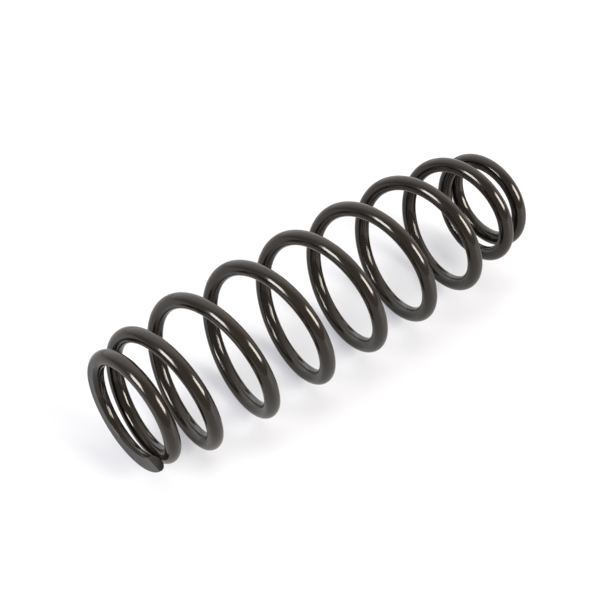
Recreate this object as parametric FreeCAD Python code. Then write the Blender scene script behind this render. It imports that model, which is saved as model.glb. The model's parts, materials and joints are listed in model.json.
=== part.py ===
import FreeCAD, Part
import math
import os

# Barrel coil spring: one bar of round spring steel, wound right-handed, its ends closed and ground flat.
# The origin is on the coil axis in the lower ground seat. +Z runs along the axis to the upper seat.
#
# The bar is divided into the portions that move by different amounts as the spring shortens: a closed
# end coil at each end, and quarter turns between them. Every cut lies in a plane that holds the axis, so
# neighbouring portions meet face to face and slide past each other along Z. Four portions make a turn,
# so a portion always has one of the same shape and angle straight above it.
#
# The bar is sheared off at a slant, its outer side and its ground side longer. Each tip has sprung a
# little out of round.

# Driving dimensions, in millimetres, turns and degrees
wire_diameter = 11.0
free_length = 350.0
total_turns = 9.45
lower_end_mean_diameter = 75.5
middle_mean_diameter = 97.5
upper_end_mean_diameter = 68.5
widest_at = 0.455  # share of the turns at which the barrel is widest
straight_end_turns = 0.65  # turns at each end that keep the end's diameter
barrel_fullness = 5.1  # a higher power holds the middle wide for more turns
barrel_ease = 2.3  # power that eases the end's diameter into the barrel without a kink
tip_pitch = 7.1  # rise per turn at both tips
pitch_ramp_turns = 2.82  # turns over which the pitch grows from the tip's to the full one
tip_centre_height = 1.2  # from each seat to the bar's centre at its tip: the rest is ground away
tip_flare = 1.6  # how far each tip springs out of the coil's round
tip_flare_turns = 0.25  # length of bar that has sprung out
shear_slant = 30.0  # angle between the sheared face and a plane through the axis, seen along the axis
shear_lean = 15.0  # angle between the sheared face and the axis
spare_turns = 0.022  # length of bar past each tip, before it is sheared off
shear_clearance = 0.1  # how far the shears reach past the bar's surface
lower_tip_angle = 38.0  # about +Z, from +X
active_turns = 7
quarters = 4
sections_per_turn = 32

wire_radius = wire_diameter / 2
end_portion_turns = (total_turns - active_turns) / 2
full_pitch = (
    free_length - 2 * tip_centre_height - tip_pitch * pitch_ramp_turns
) / (total_turns - pitch_ramp_turns)


def ramp_lag(turns):
    """Turns of full pitch that the ramp has lost, this many turns in from a tip."""
    u = min(turns / pitch_ramp_turns, 1.0)
    return pitch_ramp_turns * (u - u**3 + u**4 / 2)


def centre_height(turn):
    """Height of the bar's centre above the lower seat, this many turns from the lower tip."""
    lag = ramp_lag(turn) + ramp_lag(total_turns) - ramp_lag(total_turns - turn)
    return tip_centre_height + full_pitch * turn - (full_pitch - tip_pitch) * lag


def pitch(turn):
    """Rise per turn: the tip's pitch at both ends, easing up to the full pitch."""
    share = 1.0
    for inwards in (turn, total_turns - turn):
        u = min(inwards / pitch_ramp_turns, 1.0)
        share -= 1 - u * u * (3 - 2 * u)
    return tip_pitch + (full_pitch - tip_pitch) * share


def coil_radius(turn):
    """Distance from the axis to the bar's centre."""
    widest_turn = widest_at * total_turns
    if turn < widest_turn:
        end_radius = lower_end_mean_diameter / 2
        inwards = turn
        half = widest_turn
    else:
        end_radius = upper_end_mean_diameter / 2
        inwards = total_turns - turn
        half = total_turns - widest_turn
    u = max(inwards - straight_end_turns, 0.0) / (half - straight_end_turns)
    bulge = (1 - (1 - u) ** barrel_fullness) ** barrel_ease
    sprung = max(1 - inwards / tip_flare_turns, 0.0) ** 2
    return end_radius + (middle_mean_diameter / 2 - end_radius) * bulge + tip_flare * sprung


def bar_centre(turn):
    """The bar's centre and the unit vector from the axis towards it."""
    angle = math.radians(lower_tip_angle) + 2 * math.pi * turn
    outwards = FreeCAD.Vector(math.cos(angle), math.sin(angle), 0)
    return outwards * coil_radius(turn) + FreeCAD.Vector(0, 0, centre_height(turn)), outwards


def bar_section(turn, radius):
    """The bar's outline in a plane through the axis: a circle that the lead stretches along Z."""
    centre, outwards = bar_centre(turn)
    lead = math.atan2(pitch(turn), 2 * math.pi * coil_radius(turn))
    top = centre + FreeCAD.Vector(0, 0, radius / math.cos(lead))
    outside = centre + outwards * radius
    return Part.Wire(Part.Ellipse(top, outside, centre).toShape())


def bar_portion(first_turn, last_turn, radius=wire_radius):
    """The solid bar from one turn position to another."""
    steps = math.ceil((last_turn - first_turn) * sections_per_turn - 1e-6)
    turns = [first_turn + (last_turn - first_turn) * i / steps for i in range(steps + 1)]
    return Part.makeLoft([bar_section(turn, radius) for turn in turns], True, False)


def shear(portion, tip_turn, outwards):
    """Cut the spare bar off at a slant. outwards is -1 at the lower tip and +1 at the upper one."""
    size = 2 * wire_diameter
    nearest = 0 if outwards > 0 else -size
    beyond = Part.makeBox(size, size, size, FreeCAD.Vector(-size / 2, nearest, -size / 2))
    angle = lower_tip_angle + 360 * tip_turn + outwards * shear_slant
    beyond.rotate(FreeCAD.Vector(0, 0, 0), FreeCAD.Vector(1, 0, 0), -shear_lean)
    beyond.rotate(FreeCAD.Vector(0, 0, 0), FreeCAD.Vector(0, 0, 1), angle)
    beyond.translate(bar_centre(tip_turn)[0])
    reach = spare_turns + shear_clearance / (2 * math.pi * coil_radius(tip_turn))
    sleeve = bar_portion(tip_turn - reach, tip_turn + reach, wire_radius + shear_clearance)
    return portion.cut(sleeve.common(beyond))


def grind(portion, seat_height, outwards):
    """Cut off what stands past a seat. outwards is -1 below the lower seat and +1 above the upper one."""
    reach = middle_mean_diameter
    low = seat_height if outwards > 0 else seat_height - wire_diameter
    waste = Part.makeBox(2 * reach, 2 * reach, wire_diameter, FreeCAD.Vector(-reach, -reach, low))
    return portion.cut(waste)


def save(name, shape):
    shape.exportStep(os.path.join("parts", name + ".step"))


def portion_names():
    """Names of the active portions from the bottom up, each with the turns at its two ends."""
    named = []
    for turn in range(active_turns):
        for quarter in range(quarters):
            start = end_portion_turns + turn + quarter / quarters
            name = f"active_turn_{turn + 1}_quarter_{quarter + 1}"
            named.append((name, start, start + 1 / quarters))
    return named


def main():
    os.makedirs("parts", exist_ok=True)
    lower = shear(bar_portion(-spare_turns, end_portion_turns), 0.0, -1)
    save("lower_end_coil", grind(lower, 0.0, -1))
    for name, start, end in portion_names():
        save(name, bar_portion(start, end))
    upper = bar_portion(total_turns - end_portion_turns, total_turns + spare_turns)
    save("upper_end_coil", grind(shear(upper, total_turns, 1), free_length, 1))


main()
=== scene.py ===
import json
import math

import bpy
import numpy as np
from mathutils import Matrix, Vector


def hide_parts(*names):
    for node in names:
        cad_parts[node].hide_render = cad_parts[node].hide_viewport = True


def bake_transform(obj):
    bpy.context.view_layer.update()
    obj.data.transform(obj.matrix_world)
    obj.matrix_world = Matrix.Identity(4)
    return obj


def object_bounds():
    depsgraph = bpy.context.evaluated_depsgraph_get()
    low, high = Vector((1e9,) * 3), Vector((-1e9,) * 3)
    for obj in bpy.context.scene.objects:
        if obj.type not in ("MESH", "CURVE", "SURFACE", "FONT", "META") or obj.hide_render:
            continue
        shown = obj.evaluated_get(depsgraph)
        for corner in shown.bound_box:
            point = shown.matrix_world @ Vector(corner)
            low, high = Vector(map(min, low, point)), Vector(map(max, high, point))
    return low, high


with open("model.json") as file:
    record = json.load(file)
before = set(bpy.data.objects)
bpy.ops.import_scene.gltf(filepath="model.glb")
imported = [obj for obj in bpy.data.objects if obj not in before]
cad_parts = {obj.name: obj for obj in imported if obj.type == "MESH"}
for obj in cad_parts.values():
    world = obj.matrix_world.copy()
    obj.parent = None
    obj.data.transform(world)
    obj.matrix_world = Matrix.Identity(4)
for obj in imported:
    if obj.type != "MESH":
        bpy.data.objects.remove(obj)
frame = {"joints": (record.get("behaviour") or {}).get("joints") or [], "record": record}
cad_low, cad_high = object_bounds()

# Barrel coil spring, in metres: one bar of round spring steel, closed and ground flat at both ends.
# It is shown in the CAD model's own portions.

# The bar's course, as in the CAD source
wire_diameter = 0.011
free_length = 0.350
total_turns = 9.45
lower_end_mean_diameter = 0.0755
middle_mean_diameter = 0.0975
upper_end_mean_diameter = 0.0685
widest_at = 0.455  # share of the turns at which the barrel is widest
straight_end_turns = 0.65  # turns at each end that keep the end's diameter
barrel_fullness = 5.1
barrel_ease = 2.3
tip_pitch = 0.0071
pitch_ramp_turns = 2.82
tip_centre_height = 0.0012
tip_flare = 0.0016  # how far each tip springs out of the coil's round
tip_flare_turns = 0.25
shear_slant = math.radians(30)  # from a plane through the axis to the sheared face, along the axis
shear_lean = math.radians(15)  # between the sheared face and the axis
lower_tip_angle = math.radians(38)
active_turns = 7
quarters = 4
wire_radius = wire_diameter / 2
end_portion_turns = (total_turns - active_turns) / 2
full_pitch = (
    free_length - 2 * tip_centre_height - tip_pitch * pitch_ramp_turns
) / (total_turns - pitch_ramp_turns)

# Small edges that the CAD model leaves sharp
seat_edge_radius = 0.0004  # where the ground flat meets the round of the bar
tip_edge_radius = 0.0003  # around the sheared face at each tip

# How finely the bar is divided
rings_per_turn = 160
end_rings_per_turn = 240
round_segments = 48
fillet_segments = 3
flat_segments = 4
tip_edge_rings = 4
turning_turns = 0.06  # length of bar over which the rings turn into the sheared face

coating_ior = 1.5

UP = np.array([0.0, 0.0, 1.0])
WIRE, SEAT, TIP = 0, 1, 2  # places of the materials on each piece


# ---------------------------------------------------------------- the bar's course

def ramp_lag(turns):
    """Turns of full pitch that the ramp has lost, this many turns in from a tip."""
    u = min(turns / pitch_ramp_turns, 1.0)
    return pitch_ramp_turns * (u - u**3 + u**4 / 2)


def centre_height(turn):
    """Height of the bar's centre above the lower seat, this many turns from the lower tip."""
    lag = ramp_lag(turn) + ramp_lag(total_turns) - ramp_lag(total_turns - turn)
    return tip_centre_height + full_pitch * turn - (full_pitch - tip_pitch) * lag


def pitch(turn):
    """Rise per turn: the tip's pitch at both ends, easing up to the full pitch."""
    share = 1.0
    for inwards in (turn, total_turns - turn):
        u = min(inwards / pitch_ramp_turns, 1.0)
        share -= 1 - u * u * (3 - 2 * u)
    return tip_pitch + (full_pitch - tip_pitch) * share


def coil_radius(turn):
    """Distance from the axis to the bar's centre."""
    widest_turn = widest_at * total_turns
    if turn < widest_turn:
        end_radius = lower_end_mean_diameter / 2
        inwards = turn
        half = widest_turn
    else:
        end_radius = upper_end_mean_diameter / 2
        inwards = total_turns - turn
        half = total_turns - widest_turn
    u = max(inwards - straight_end_turns, 0.0) / (half - straight_end_turns)
    bulge = (1 - (1 - u) ** barrel_fullness) ** barrel_ease
    sprung = max(1 - inwards / tip_flare_turns, 0.0) ** 2
    return end_radius + (middle_mean_diameter / 2 - end_radius) * bulge + tip_flare * sprung


def directions(turn):
    """Unit vectors away from the axis and along the coil, at this turn."""
    angle = lower_tip_angle + 2 * math.pi * turn
    outwards = np.array([math.cos(angle), math.sin(angle), 0.0])
    along = np.array([-math.sin(angle), math.cos(angle), 0.0])
    return outwards, along


# ---------------------------------------------------------------- the bar's surface

def arc(centre, radius, start, end, segments):
    """Points of an arc and their directions from its centre. The last point is left to what follows."""
    angle = start + (end - start) * np.arange(segments) / segments
    outwards = np.stack([np.cos(angle), np.sin(angle)], 1)
    return np.array(centre) + radius * outwards, outwards


def round_outline(inset):
    """A round bar: points, directions, climb, and the point that each column of the surface uses."""
    points, out = arc((0, 0), wire_radius - inset, -math.pi / 2, 3 * math.pi / 2, round_segments)
    seat_columns = [0] * (flat_segments + fillet_segments)
    columns = seat_columns + list(range(round_segments)) + [0] * fillet_segments
    return points, out, np.ones(round_segments), columns


def ground_outline(depth, inset):
    """A bar whose centre is depth above the seat, cut flat there with a small fillet at each edge.

    Directions are the surface's own. Climb is 0 where it lies in the seat and 1 where it follows the bar.
    """
    edge = seat_edge_radius
    reach = math.sqrt((wire_radius - edge) ** 2 - (depth - edge) ** 2)
    turned = math.atan2(edge - depth, reach)
    right = arc((reach, edge - depth), edge - inset, -math.pi / 2, turned, fillet_segments)
    main = arc((0, 0), wire_radius - inset, turned, math.pi - turned, round_segments)
    left_start, left_end = math.pi - turned, 3 * math.pi / 2
    left = arc((-reach, edge - depth), edge - inset, left_start, left_end, fillet_segments)
    across = np.linspace(-reach, reach, flat_segments, endpoint=False)
    flat = (
        np.stack([across, np.full(flat_segments, inset - depth)], 1),
        np.tile([0.0, -1.0], (flat_segments, 1)),
    )
    points, out = (np.concatenate(parts) for parts in zip(flat, right, main, left))
    rise = np.arange(fillet_segments) / fillet_segments
    climb = np.concatenate([np.zeros(flat_segments), rise, np.ones(round_segments), 1 - rise])
    return points, out, climb, list(range(len(points)))


def radial_ring(turn, inset, upper):
    """The bar's outline in the plane through the axis at this turn: points, normals and columns.

    inset shrinks the outline. upper is true in the spring's upper half, where the nearer seat is above.
    """
    outwards, along = directions(turn)
    radius = coil_radius(turn)
    lead = math.atan2(pitch(turn), 2 * math.pi * radius)
    height = centre_height(turn)
    side = -1 if upper else 1
    depth = (free_length - height if upper else height) * math.cos(lead)
    if depth < wire_radius:
        points, out, climb, columns = ground_outline(depth, inset)
    else:
        points, out, climb, columns = round_outline(inset)
    points, out = side * points, side * out
    ring = outwards * (radius + points[:, :1]) + UP * (height + points[:, 1:] / math.cos(lead))
    nearby = 1e-4
    flare = (coil_radius(turn + nearby) - coil_radius(turn - nearby)) / (2 * nearby)
    course = (
        outwards * flare
        + along * 2 * math.pi * (radius + points[:, :1])
        + UP * (pitch(turn) * climb)[:, None]
    )
    around = UP * out[:, :1] / math.cos(lead) - outwards * out[:, 1:]
    normals = np.cross(course, around)
    normals /= np.linalg.norm(normals, axis=1, keepdims=True)
    return ring, normals, columns


def tip_facing(turn, turned, upper):
    """The way that a cut faces: along the bar if turned is 0, as the sheared face does if it is 1."""
    outwards, along = directions(turn)
    side = 1 if upper else -1
    slant, lean = turned * shear_slant, turned * shear_lean
    level = side * math.cos(slant) * along - math.sin(slant) * outwards
    return math.cos(lean) * level - side * math.sin(lean) * UP


def bar_ring(turn, inset, tilt, turned, upper):
    """The bar's outline in a plane that is turned towards the sheared face's.

    tilt, an angle, leans the normals to the tip.
    """
    ring, normals, columns = radial_ring(turn, inset, upper)
    facing_out = tip_facing(turn, turned, upper)
    if turned:
        outwards, _ = directions(turn)
        centre = outwards * coil_radius(turn) + UP * centre_height(turn)
        turns = np.full(len(ring), turn)
        for _ in range(4):  # each point slides along the bar until it lies in the plane
            for i, point in enumerate(ring):
                radius = math.hypot(point[0], point[1])
                course = directions(turns[i])[1] * 2 * math.pi * radius + UP * pitch(turns[i])
                turns[i] -= (point - centre).dot(facing_out) / course.dot(facing_out)
            rings = [radial_ring(t, inset, upper) for t in turns]
            ring = np.array([moved[0][i] for i, moved in enumerate(rings)])
        normals = np.array([moved[1][i] for i, moved in enumerate(rings)])
    if tilt:
        normals = math.cos(tilt) * normals + math.sin(tilt) * facing_out
    return ring, normals, columns


def tip_rings(tip_turn, inwards):
    """Turn, inset, tilt and turned of the rings that round a tip's edge, from its face inwards."""
    turn_length = 2 * math.pi * coil_radius(tip_turn)
    rings = []
    for i in range(tip_edge_rings):
        tilt = math.pi / 2 * (1 - i / tip_edge_rings)
        back = tip_edge_radius * (1 - math.sin(tilt))
        inset = tip_edge_radius * (1 - math.cos(tilt))
        rings.append((tip_turn + inwards * back / turn_length, inset, tilt, 1.0))
    return rings


def plain_rings(first_turn, last_turn, per_turn):
    """Turn, inset, tilt and turned of evenly spaced rings, which turn to the sheared face near a tip."""
    count = math.ceil((last_turn - first_turn) * per_turn - 1e-6)
    rings = []
    for turn in np.linspace(first_turn, last_turn, count + 1):
        inwards = min(turn, total_turns - turn)
        rings.append((turn, 0.0, 0.0, max(1 - inwards / turning_turns, 0.0)))
    return rings


def bar_mesh(name, rings, start_finish, end_finish):
    """A closed mesh through the rings, with true normals, so that no seam shows between portions."""
    points, normals, turns, columns = [], [], [], []
    first_turn, last_turn = rings[0][0], rings[-1][0]
    upper = first_turn + last_turn > total_turns
    for turn, inset, tilt, turned in rings:
        ring, ring_normals, ring_columns = bar_ring(turn, inset, tilt, turned, upper)
        columns.append([len(points) + c for c in ring_columns])
        points.extend(ring)
        normals.extend(ring_normals)
        turns.extend([turn] * len(ring))
    faces, finishes, face_normals = [], [], []
    for near, far in zip(columns, columns[1:]):
        for j in range(len(near)):
            k = (j + 1) % len(near)
            corners = [near[j], far[j], far[k], near[k]]
            face = list(dict.fromkeys(corners))  # corners that meet count once
            if len(face) > 2:
                faces.append(face)
                finishes.append(SEAT if j < flat_segments else WIRE)
                face_normals.extend(normals[v] for v in face)
    start, end = list(dict.fromkeys(columns[0])), list(dict.fromkeys(columns[-1]))
    for cap, finish, facing in (
        (start, start_finish, tip_facing(first_turn, rings[0][3], False)),
        (end[::-1], end_finish, tip_facing(last_turn, rings[-1][3], True)),
    ):
        faces.append(cap)
        finishes.append(finish)
        face_normals.extend([facing] * len(cap))
    mesh = bpy.data.meshes.new(name)
    mesh.from_pydata([tuple(p) for p in points], [], faces)
    mesh.polygons.foreach_set("material_index", finishes)
    mesh.polygons.foreach_set("use_smooth", [True] * len(faces))
    mesh.normals_split_custom_set([tuple(n) for n in face_normals])
    return mesh, np.array(turns)


# ---------------------------------------------------------------- how the portions move

def portion_ratios():
    """The share of the whole travel that each portion's body moves, from the bottom up."""
    couplings = {c["joint"]: c["ratio"] for c in frame["record"]["behaviour"]["couplings"]}
    joint_of = {j["child"]: j["name"] for j in frame["joints"]}
    names = portion_names()
    active = [couplings[joint_of[name]] for name in names[1:-1]]
    return dict(zip(names, [0.0] + active + [1.0]))


def portion_names():
    active = [
        f"active_turn_{turn + 1}_quarter_{quarter + 1}"
        for turn in range(active_turns)
        for quarter in range(quarters)
    ]
    return ["lower_end_coil"] + active + ["upper_end_coil"]


def travel_share(turns, ratios):
    """The share of the travel that the bar moves at each turn: smooth through the portions' middles."""
    value = np.array(ratios)
    slope = np.zeros(len(value))
    slope[1:-1] = (value[2:] - value[:-2]) / 2
    place = (turns - end_portion_turns) * quarters + 0.5
    place = np.clip(place, 0, len(value) - 1)
    low = np.minimum(place.astype(int), len(value) - 2)
    u = place - low
    return (
        (2 * u**3 - 3 * u**2 + 1) * value[low]
        + (u**3 - 2 * u**2 + u) * slope[low]
        + (3 * u**2 - 2 * u**3) * value[low + 1]
        + (u**3 - u**2) * slope[low + 1]
    )


def bend_with(piece):
    """Bakes the piece's placement into its mesh."""
    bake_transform(piece)


# ---------------------------------------------------------------- materials

def new_material(name):
    """A material with its object coordinates and its principled shader."""
    material = bpy.data.materials.new(name)
    material.use_nodes = True
    nodes = material.node_tree.nodes
    place = nodes.new("ShaderNodeTexCoord").outputs["Object"]
    return material, place, nodes["Principled BSDF"]


def noise(material, place, scale, detail=2.0, stretch=(1, 1, 1)):
    """Noise over the surface, scale being features in a metre."""
    nodes, links = material.node_tree.nodes, material.node_tree.links
    mapping = nodes.new("ShaderNodeMapping")
    mapping.inputs["Scale"].default_value = stretch
    texture = nodes.new("ShaderNodeTexNoise")
    texture.inputs["Scale"].default_value = scale
    texture.inputs["Detail"].default_value = detail
    links.new(place, mapping.inputs["Vector"])
    links.new(mapping.outputs["Vector"], texture.inputs["Vector"])
    return texture.outputs["Fac"]


def ramp(material, factor, low, high, start=0.3, end=0.7):
    """A number that runs from low to high as factor runs from start to end."""
    node = material.node_tree.nodes.new("ShaderNodeMapRange")
    node.inputs["From Min"].default_value = start
    node.inputs["From Max"].default_value = end
    node.inputs["To Min"].default_value = low
    node.inputs["To Max"].default_value = high
    material.node_tree.links.new(factor, node.inputs["Value"])
    return node.outputs["Result"]


def mix_colour(material, factor, first, second):
    node = material.node_tree.nodes.new("ShaderNodeMix")
    node.data_type = "RGBA"
    links = material.node_tree.links
    links.new(factor, node.inputs["Factor"])
    for socket, colour in (("A_Color", first), ("B_Color", second)):
        target = next(i for i in node.inputs if i.identifier == socket)
        if isinstance(colour, bpy.types.NodeSocket):
            links.new(colour, target)
        else:
            target.default_value = (*colour, 1)
    return next(o for o in node.outputs if o.identifier == "Result_Color")


def bump(material, height, distance, below=None):
    """Normals from a height of 0 to 1 that stands for distance, in metres, on top of an earlier bump."""
    node = material.node_tree.nodes.new("ShaderNodeBump")
    node.inputs["Strength"].default_value = 1.0
    node.inputs["Distance"].default_value = distance
    links = material.node_tree.links
    links.new(height, node.inputs["Height"])
    if below is not None:
        links.new(below, node.inputs["Normal"])
    return node.outputs["Normal"]


def coated_wire():
    """Gloss brown-black coating over the round bar, with a slight orange peel and a fine grain."""
    material, place, shader = new_material("coated_wire")
    links = material.node_tree.links
    cloud = noise(material, place, 40, detail=3)
    brown, pale_brown = (0.0060, 0.0042, 0.0028), (0.0082, 0.0058, 0.0040)
    colour = mix_colour(material, ramp(material, cloud, 0, 1), brown, pale_brown)
    links.new(colour, shader.inputs["Base Color"])
    patches = noise(material, place, 110, detail=2)
    links.new(ramp(material, patches, 0.12, 0.16), shader.inputs["Roughness"])
    peel = bump(material, noise(material, place, 420, detail=1), 0.000012)
    grain = bump(material, noise(material, place, 2600, detail=2), 0.0000012, peel)
    links.new(grain, shader.inputs["Normal"])
    shader.inputs["IOR"].default_value = coating_ior
    shader.inputs["Specular Tint"].default_value = (1.0, 0.96, 0.92, 1)
    return material


def ground_seat():
    """The ground flat under the same coating: duller, with the grinding wheel's fine parallel marks."""
    material, place, shader = new_material("ground_seat")
    links = material.node_tree.links
    marks = noise(material, place, 1500, detail=3, stretch=(0.04, 1, 1))
    cloud = noise(material, place, 90, detail=3)
    grey, pale_grey = (0.007, 0.0075, 0.008), (0.015, 0.016, 0.0175)
    colour = mix_colour(material, ramp(material, marks, 0, 1), grey, pale_grey)
    links.new(colour, shader.inputs["Base Color"])
    links.new(ramp(material, cloud, 0.27, 0.36), shader.inputs["Roughness"])
    scored = bump(material, marks, 0.000008)
    grain = bump(material, noise(material, place, 3000, detail=2), 0.000003, scored)
    links.new(grain, shader.inputs["Normal"])
    shader.inputs["IOR"].default_value = coating_ior
    return material


def sheared_tip():
    """The cut face at a tip: torn steel under a thin coating, browner and rougher than the bar."""
    material, place, shader = new_material("sheared_tip")
    links = material.node_tree.links
    drag = noise(material, place, 900, detail=4, stretch=(1, 1, 0.15))
    torn = noise(material, place, 1400, detail=5)
    brown, pale_brown = (0.005, 0.0036, 0.0026), (0.014, 0.0098, 0.007)
    colour = mix_colour(material, ramp(material, torn, 0, 1), brown, pale_brown)
    links.new(colour, shader.inputs["Base Color"])
    links.new(ramp(material, drag, 0.35, 0.55), shader.inputs["Roughness"])
    scored = bump(material, drag, 0.00008)
    links.new(bump(material, torn, 0.00005, scored), shader.inputs["Normal"])
    shader.inputs["IOR"].default_value = coating_ior
    return material


# ---------------------------------------------------------------- the spring

def portion_rings(index, last):
    """The rings of one portion, counted from the bottom."""
    if index == 0:
        rounded = tip_rings(0.0, 1)
        return rounded + plain_rings(rounded[-1][0], end_portion_turns, end_rings_per_turn)[1:]
    if index == last:
        rounded = tip_rings(total_turns, -1)[::-1]
        start = total_turns - end_portion_turns
        return plain_rings(start, rounded[0][0], end_rings_per_turn)[:-1] + rounded
    start = end_portion_turns + (index - 1) / quarters
    return plain_rings(start, start + 1 / quarters, rings_per_turn)


def build_spring():
    finishes = (coated_wire(), ground_seat(), sheared_tip())
    ratios = portion_ratios()
    last = len(ratios) - 1
    for index, (body, ratio) in enumerate(ratios.items()):
        start_finish = TIP if index == 0 else WIRE
        end_finish = TIP if index == last else WIRE
        name = "wire_" + body
        mesh, turns = bar_mesh(name, portion_rings(index, last), start_finish, end_finish)
        piece = bpy.data.objects.new(name, mesh)
        bpy.context.scene.collection.objects.link(piece)
        for finish in finishes:
            mesh.materials.append(finish)
        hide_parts(body)
        share = travel_share(turns, list(ratios.values()))
        if index == 0:
            bend_with(piece)
        else:
            bend_with(piece)


# ---------------------------------------------------------------- floor, light and camera

FLOOR_UP = Vector((0, -1, 0))  # the spring lies on its side
camera_azimuth = 132.0  # azimuths are over the floor, from the spring's upper end round to its right
floor_front = 0.4  # from the spring's middle to the floor's near edge
floor_reach = 4.0
floor_clearance = 0.0002
floor_glow = 0.3  # what the camera sees over what the lights give, as on a lit table
light_distance = 2.0
light_radiance = 20.0
white = (1.0, 1.0, 1.0)


def floor_mesh():
    """A level sheet that the widest turns lie on. Its near edge is a little in front of the spring."""
    ahead = towards(camera_azimuth, 0)
    across = FLOOR_UP.cross(ahead)
    middle = (cad_low + cad_high) / 2
    middle.y = cad_high.y + floor_clearance
    near, far = middle + ahead * floor_front, middle - ahead * floor_reach
    side = across * floor_reach
    mesh = bpy.data.meshes.new("floor")
    mesh.from_pydata([near - side, near + side, far + side, far - side], [], [(0, 1, 2, 3)])
    return mesh


def build_floor():
    """A plain pale floor with a slight sheen. It can be seen through from behind."""
    mesh = floor_mesh()
    floor = bpy.data.objects.new("floor", mesh)
    bpy.context.scene.collection.objects.link(floor)
    material = bpy.data.materials.new("pale_floor")
    material.use_nodes = True
    nodes, links = material.node_tree.nodes, material.node_tree.links
    shader = nodes["Principled BSDF"]
    shader.inputs["Base Color"].default_value = (0.43, 0.435, 0.445, 1)
    shader.inputs["Roughness"].default_value = 0.5
    shader.inputs["Emission Color"].default_value = (0.95, 0.97, 1.06, 1)
    seen = nodes.new("ShaderNodeLightPath").outputs["Is Camera Ray"]
    links.new(ramp(material, seen, 0, floor_glow, 0, 1), shader.inputs["Emission Strength"])
    behind = nodes.new("ShaderNodeNewGeometry").outputs["Backfacing"]
    clear = nodes.new("ShaderNodeBsdfTransparent")
    mix = nodes.new("ShaderNodeMixShader")
    links.new(behind, mix.inputs["Fac"])
    links.new(shader.outputs["BSDF"], mix.inputs[1])
    links.new(clear.outputs["BSDF"], mix.inputs[2])
    links.new(mix.outputs["Shader"], nodes["Material Output"].inputs["Surface"])
    mesh.materials.append(material)


def towards(azimuth, elevation):
    """A direction over the floor, from its azimuth and elevation in degrees."""
    a, e = math.radians(azimuth), math.radians(elevation)
    level = Vector((math.sin(a), 0, math.cos(a)))
    return level * math.cos(e) + FLOOR_UP * math.sin(e)


def facing(backwards):
    """A rotation that turns local Z backwards and keeps local Y as near as it can to the floor's up."""
    right = FLOOR_UP.cross(backwards).normalized()
    upwards = backwards.cross(right)
    return Matrix((right, upwards, backwards)).transposed().to_quaternion()


def build_softbox(name, azimuth, elevation, width, height, colour):
    """A soft light that faces the spring's middle."""
    light = bpy.data.lights.new(name, "AREA")
    light.shape = "RECTANGLE"
    light.size = width
    light.size_y = height
    light.color = colour
    light.energy = light_radiance * math.pi * width * height
    lamp = bpy.data.objects.new(name, light)
    lamp.location = (cad_low + cad_high) / 2 + towards(azimuth, elevation) * light_distance
    lamp.rotation_mode = "QUATERNION"
    lamp.rotation_quaternion = facing(towards(azimuth, elevation))
    lamp.visible_camera = False
    bpy.context.scene.collection.objects.link(lamp)


def along_direction(world, direction, start, end):
    """0 to 1 over the sky as the share of direction in each of its points runs from start to end."""
    nodes, links = world.node_tree.nodes, world.node_tree.links
    dot = nodes.new("ShaderNodeVectorMath")
    dot.operation = "DOT_PRODUCT"
    dot.inputs[1].default_value = direction
    links.new(nodes.new("ShaderNodeTexCoord").outputs["Generated"], dot.inputs[0])
    share = nodes.new("ShaderNodeMapRange")
    share.interpolation_type = "SMOOTHSTEP"
    share.inputs["From Min"].default_value = start
    share.inputs["From Max"].default_value = end
    links.new(dot.outputs["Value"], share.inputs["Value"])
    return share.outputs["Result"]


def build_world():
    """A pale studio: bright beyond the spring, darker behind the camera and warmer to the right.

    The camera itself sees it white.
    """
    world = bpy.data.worlds.new("studio")
    bpy.context.scene.world = world
    world.use_nodes = True
    nodes, links = world.node_tree.nodes, world.node_tree.links
    darkest, brightest = 0.44, 1.58
    beyond = along_direction(world, towards(-50, 27), 0.05, 0.9)
    brightness = ramp(world, beyond, darkest, brightest, 0, 1)
    warmth = along_direction(world, towards(60, 10), -0.5, 0.6)
    colour = mix_colour(world, warmth, white, (1.08, 1.0, 0.9))
    seen = nodes.new("ShaderNodeLightPath").outputs["Is Camera Ray"]
    strength = nodes.new("ShaderNodeMix")
    links.new(seen, strength.inputs["Factor"])
    links.new(brightness, strength.inputs["A"])
    strength.inputs["B"].default_value = 1.0
    background = nodes["Background"]
    links.new(mix_colour(world, seen, colour, white), background.inputs["Color"])
    links.new(strength.outputs["Result"], background.inputs["Strength"])


def build_camera():
    """A long lens above and in front of the lower end."""
    place = Vector((0.4841, -0.5951, -0.2665))
    aim = Vector((-0.0042, -0.0035, 0.1554))
    camera = bpy.data.cameras.new("camera")
    camera.sensor_width = 36
    camera.lens = 74.0
    eye = bpy.data.objects.new("camera", camera)
    eye.location = place
    eye.rotation_mode = "QUATERNION"
    eye.rotation_quaternion = facing((place - aim).normalized())
    bpy.context.scene.collection.objects.link(eye)
    bpy.context.scene.camera = eye


build_spring()
build_floor()
build_softbox("softbox_upper", 66, 29, 0.95, 1.0, (1.0, 0.95, 0.89))
build_softbox("softbox_lower", 184, 26, 0.7, 0.95, (0.99, 0.98, 0.98))
build_world()
build_camera()
bpy.context.scene.view_settings.view_transform = "Standard"
